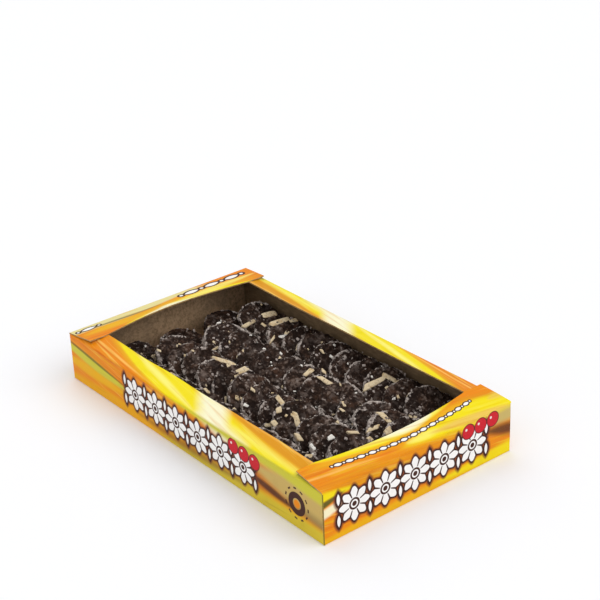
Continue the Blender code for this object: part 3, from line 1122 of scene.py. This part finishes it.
def slice_surface(one, tables):
    """The crumbly surface of a slice, as its points, faces, relief and dust.

    The section is carried round the outline, and each point is moved along the section's normal by
    LUMP_DEPTH times smooth noise, CRUMB_DEPTH times rounded lumps and FINE_DEPTH times finer noise. Near the
    rim it is also moved towards the slice's middle: by CHIP_DEPTH times the part of a coarser noise above a
    threshold, and by EDGE_WANDER times a slow noise. Dust is thick at the rim and fades as a bell curve.
    """
    middle = one.half - WEAR
    share, height, outwards, upwards = slice_stations(middle)
    angle = np.linspace(-math.pi, math.pi, SLICE_COLUMNS, endpoint=False)
    outline = one.radius(angle) - RIM_ROUNDING - WEAR
    far = share * outline + RIM_ROUNDING * outwards
    local = laid_out(far * np.cos(angle), far * np.sin(angle), height).reshape(-1, 3)
    normal = laid_out(outwards * np.cos(angle), outwards * np.sin(angle), upwards).reshape(-1, 3)
    world = one.to_world(np.concatenate([local, [(0, 0, middle), (0, 0, -middle)]]))
    normal = np.concatenate([normal, [(0, 0, 1), (0, 0, -1)]])
    coarse = smooth_noise(world, LUMP_SIZE, tables[0])
    crumbs = lumps(world, CRUMB_SIZE, tables[1])
    fine = smooth_noise(world, CRUMB_SIZE * 0.6, tables[0])
    relief = 0.45 * coarse + 0.9 * (crumbs - 0.5) + 0.25 * fine
    move = LUMP_DEPTH * coarse + CRUMB_DEPTH * (crumbs - 0.6) + FINE_DEPTH * fine
    inwards = np.maximum(outline + RIM_ROUNDING - far, 0)
    from_rim = np.hypot(inwards, np.maximum(one.half - np.abs(height), 0) * 0.6)
    chip = np.clip(smooth_noise(world, CHIP_SIZE, tables[2]) * 2.2 - 0.25, 0, 1)
    chip = chip * np.append(np.exp(-((from_rim / CHIP_SPREAD) ** 2)), (0, 0))
    world = world + (normal * move[:, None]) @ one.axes.T
    slow = smooth_noise(one.centre + 0.6 * (world - one.centre), LUMP_SIZE, tables[1][..., 0] * 2 - 1)
    shrink = chip * CHIP_DEPTH + (slow * 0.5 + 0.5) * EDGE_WANDER
    reach = np.append(np.broadcast_to(share**4, far.shape), (0, 0))
    world = world + (shrink * reach / SLICE_REACH)[:, None] * (one.centre - world)
    dust = np.exp(-((from_rim / DUST_SPILL) ** 2)) + 0.50 * np.exp(-inwards / DUST_LINE)
    return world, closed_faces(*far.shape, True), relief, np.append(np.minimum(dust, 1), (0, 0))


def blunt(values):
    """Sines or cosines raised to BLOCK_POWER, with their signs kept."""
    return np.sign(values) * np.abs(values) ** BLOCK_POWER


def block_surface(centre, axes, size, rng, table):
    """A broken biscuit: a superellipsoid, made from the blunt sines and cosines of two angles.

    The angles are the turn round the block and the climb from its bottom to its top. The block is then
    sheared, tapered and bent by random amounts, and roughened outwards from its middle by smooth noise.
    """
    columns = BLOCK_COLUMNS if size[0] > SMALL_CRUMB else BLOCK_COLUMNS // 2
    turn = np.linspace(0, 2 * math.pi, columns, endpoint=False) + math.pi / columns
    climb = np.linspace(-1, 1, columns // 2 + 1)[1:-1, None] * math.pi / 2
    ring = blunt(np.cos(climb))
    local = laid_out(ring * blunt(np.cos(turn)), ring * blunt(np.sin(turn)), blunt(np.sin(climb)))
    local = np.concatenate([local.reshape(-1, 3), [(0, 0, -1), (0, 0, 1)]])
    shear, taper, bend = rng.uniform(-BLOCK_TWIST, BLOCK_TWIST, 3)
    local[:, 0] += shear * local[:, 1]
    local[:, 1] *= 1 + 0.5 * taper * local[:, 0]
    local[:, 0] += 0.3 * bend * local[:, 1] ** 2
    local *= np.array(size) / 2
    world = local @ axes.T + centre
    rough = smooth_noise(world, BLOCK_ROUGH_SIZE, table)[:, None] * BLOCK_ROUGH_DEPTH
    world = world + rough * (local / np.linalg.norm(local, axis=1, keepdims=True)) @ axes.T
    return world, closed_faces(len(climb), columns, False)


def camera_axes():
    """The camera's eye, and its right, up and forward directions, from its turn, tilt and roll."""
    ahead = np.array([math.cos(CAMERA_YAW), math.sin(CAMERA_YAW), 0.0])
    level = np.array([math.sin(CAMERA_YAW), -math.cos(CAMERA_YAW), 0.0])
    forward = math.cos(CAMERA_PITCH) * ahead - math.sin(CAMERA_PITCH) * np.array([0.0, 0.0, 1.0])
    above = np.cross(level, forward)
    right = math.cos(CAMERA_ROLL) * level + math.sin(CAMERA_ROLL) * above
    up = math.cos(CAMERA_ROLL) * above - math.sin(CAMERA_ROLL) * level
    return CAMERA_TARGET - CAMERA_DISTANCE * forward, right, up, forward


def sight_line(pixel):
    """Eye and direction of the sight line through a pixel of the photo."""
    eye, right, up, forward = camera_axes()
    across, down = pixel[0] - IMAGE / 2, pixel[1] - IMAGE / 2
    direction = forward * FOCAL_PIXELS + right * across - up * down
    return eye, direction / np.linalg.norm(direction)


def on_face(one, eye, direction):
    """Where a sight line meets the plane of a slice's face: the distance, and the place on the face."""
    normal = one.axes[:, 2]
    top = one.centre + one.half * normal
    away = (top - eye) @ normal / (direction @ normal)
    local = (eye + away * direction - one.centre) @ one.axes
    return away, local[:2]


def first_face(slices, eye, direction):
    """The slice whose face a sight line meets first, and the place on that face."""
    best = (1e9, None, None)
    for one in slices:
        away, place = on_face(one, eye, direction)
        if np.hypot(*place) < one.radius(math.atan2(place[1], place[0])) and away < best[0]:
            best = (away, one, place)
    return best[1:]


def held_inside(one, place, margin):
    """A place on a face, drawn in towards the middle until it is at least margin inside the outline."""
    reach = one.radius(math.atan2(place[1], place[0])) - RIM_ROUNDING * 0.6 - margin
    return place * min(1.0, reach / max(float(np.hypot(*place)), 1e-6))


def block_on_face(one, start, end, width, face_side=1, thick=BLOCK_THICK):
    """Centre, axes and size of a block sunk in a face between two places on it, kept inside the outline."""
    start, end = (held_inside(one, place, 0.3 * width) for place in (start, end))
    middle = held_inside(one, (start + end) / 2, width / 2)
    length = float(np.hypot(*(end - start)))
    centre = one.to_world(np.array([*middle, face_side * (one.half - thick / 2 - BLOCK_SUNK)]))
    x_axis = one.axes[:, :2] @ ((end - start) / max(length, 1e-6))
    z_axis = one.axes[:, 2] * face_side
    axes = np.stack([x_axis, np.cross(z_axis, x_axis), z_axis], axis=1)
    return centre, axes, (length + 0.3 * width, width, thick)


def seen_blocks(slices, listed):
    """Blocks for the pieces listed by pixel, each in the face that its middle is seen on."""
    found = []
    for x0, y0, x1, y1, width in listed:
        eye, direction = sight_line(((x0 + x1) / 2, (y0 + y1) / 2))
        one, _ = first_face(slices, eye, direction)
        if one is None:
            continue
        start, end = (on_face(one, *sight_line(pixel))[1] for pixel in ((x0, y0), (x1, y1)))
        found.append((one.name, block_on_face(one, start, end, width / 1000)))
    return found


def random_place(one, rng, spread):
    """A random place on a face, evenly by area out to the root of spread, and a random direction there."""
    angle, far = rng.uniform(-math.pi, math.pi), math.sqrt(rng.uniform(0.0, spread))
    heading = rng.uniform(0, math.pi)
    start = far * one.radius(angle) * np.array([math.cos(angle), math.sin(angle)])
    return start, np.array([math.cos(heading), math.sin(heading)])


def crumb_blocks(one, rng):
    """Small crumbs scattered on both faces of a slice."""
    found = []
    for face_side in (1, -1):
        for _ in range(CRUMBS_A_FACE):
            start, heading = random_place(one, rng, 0.93)
            width, length = np.sort(rng.uniform(*CRUMB_LENGTHS, 2))
            found.append(block_on_face(one, start, start + length * heading, width, face_side, CRUMB_THICK))
    return found


def hidden_blocks(slices, one, rng):
    """Random blocks on both faces of a slice, where the photo's camera doesn't see them."""
    eye = camera_axes()[0]
    found = []
    for face_side in (1, -1):
        for _ in range(BLOCKS_A_FACE):
            start, heading = random_place(one, rng, 0.80)
            length = rng.uniform(*BLOCK_LENGTHS)
            width = rng.uniform(*BLOCK_WIDTHS)
            ends = (start, start + length * heading)
            spots = [one.to_world(np.array([*spot, one.half])) for spot in ends]
            shown = [first_face(slices, eye, spot - eye)[0] is one for spot in spots]
            if face_side < 0 or not any(shown):
                found.append(block_on_face(one, *ends, width, face_side))
    return found


def build_slice(one, blocks, materials, rng, tables):
    """A slice and the blocks in it as one piece, which replaces the slice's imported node."""
    points, faces, relief, dust = slice_surface(one, tables)
    shells = [(DOUGH, points, faces)]
    shells += [(kind, *block_surface(*block, rng, tables[0])) for kind, block in blocks]
    kinds, points, faces = zip(*shells)
    starts = np.cumsum([0] + [len(shell) for shell in points])
    groups = [group + start for shell, start in zip(faces, starts) for group in shell]
    indices = np.concatenate([np.full(sum(map(len, shell)), kind) for kind, shell in zip(kinds, faces)])
    extra = np.zeros(starts[-1] - starts[1])
    fields = {"relief": np.append(relief, extra), "dust": np.append(dust, extra)}
    piece = piece_from(one.name + "_crumbly", np.concatenate(points), groups, materials, indices, fields)
    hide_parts(one.name)


def build_slices():
    """Every slice with its biscuit: the pieces that the photo shows, then random ones, then crumbs."""
    rng = np.random.default_rng(SEED)
    tables = (rng.uniform(-1, 1, LATTICE), rng.uniform(0, 1, (*LATTICE, 3)), rng.uniform(-1, 1, LATTICE))
    materials = [chocolate_dough()]
    materials += [biscuit(name, *colours) for name, colours in BISCUIT_COLOURS.items()]
    slices = [Slice(name) for name in sorted(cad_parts) if name.startswith("slice_")]
    blocks = {one.name: [] for one in slices}
    for kind, listed in ((BISCUIT, BISCUITS_SEEN), (WHITE_BIT, WHITE_BITS_SEEN)):
        for name, block in seen_blocks(slices, listed):
            blocks[name].append((kind, block))
    for one in slices:
        blocks[one.name] += [(BISCUIT, block) for block in hidden_blocks(slices, one, rng)]
        blocks[one.name] += [(int(rng.choice(CRUMB_KINDS)), block) for block in crumb_blocks(one, rng)]
    for one in slices:
        build_slice(one, blocks[one.name], materials, rng, tables)


# The studio


def build_camera():
    """The photo's camera: its lens gives FOCAL_PIXELS over an image of IMAGE pixels."""
    eye, right, up, forward = camera_axes()
    camera = bpy.data.objects.new("camera", bpy.data.cameras.new("camera"))
    bpy.context.scene.collection.objects.link(camera)
    camera.data.sensor_width = SENSOR
    camera.data.lens = FOCAL_PIXELS / IMAGE * SENSOR
    axes = Matrix([Vector(axis) for axis in (right, up, -forward)]).transposed().to_4x4()
    camera.matrix_world = Matrix.Translation(Vector(eye)) @ axes
    bpy.context.scene.camera = camera


def soft_sun(name, towards, strength):
    """A large soft light that shines evenly from one direction."""
    light = bpy.data.lights.new(name, "SUN")
    light.energy = strength
    light.angle = LIGHT_SPREAD
    made = bpy.data.objects.new(name, light)
    made.rotation_euler = (-Vector(towards)).to_track_quat("-Z", "Y").to_euler()
    bpy.context.scene.collection.objects.link(made)


def build_studio():
    """A white floor, an even white sky and the soft lights."""
    mesh = bpy.data.meshes.new("studio_floor")
    corners = [(x * FLOOR_REACH, y * FLOOR_REACH, 0) for x, y in ((-1, -1), (1, -1), (1, 1), (-1, 1))]
    mesh.from_pydata(corners, [], [(0, 1, 2, 3)])
    material, _, shader = new_material("studio_white")
    finish(shader, FLOOR_TONE, 0.9, 0.1)
    shader.inputs["Emission Color"].default_value = PURE_WHITE
    shader.inputs["Emission Strength"].default_value = FLOOR_GLOW
    mesh.materials.append(material)
    ground = bpy.data.objects.new("studio_floor", mesh)
    bpy.context.scene.collection.objects.link(ground)
    world = bpy.data.worlds.new("studio_sky")
    world.use_nodes = True
    world.node_tree.nodes["Background"].inputs[0].default_value = PURE_WHITE
    world.node_tree.nodes["Background"].inputs[1].default_value = SKY_STRENGTH
    bpy.context.scene.world = world
    for name, (towards, strength) in LIGHTS.items():
        soft_sun(name, towards, strength)
    bpy.context.scene.view_settings.view_transform = "Standard"


build_carton()
build_slices()
build_camera()
build_studio()
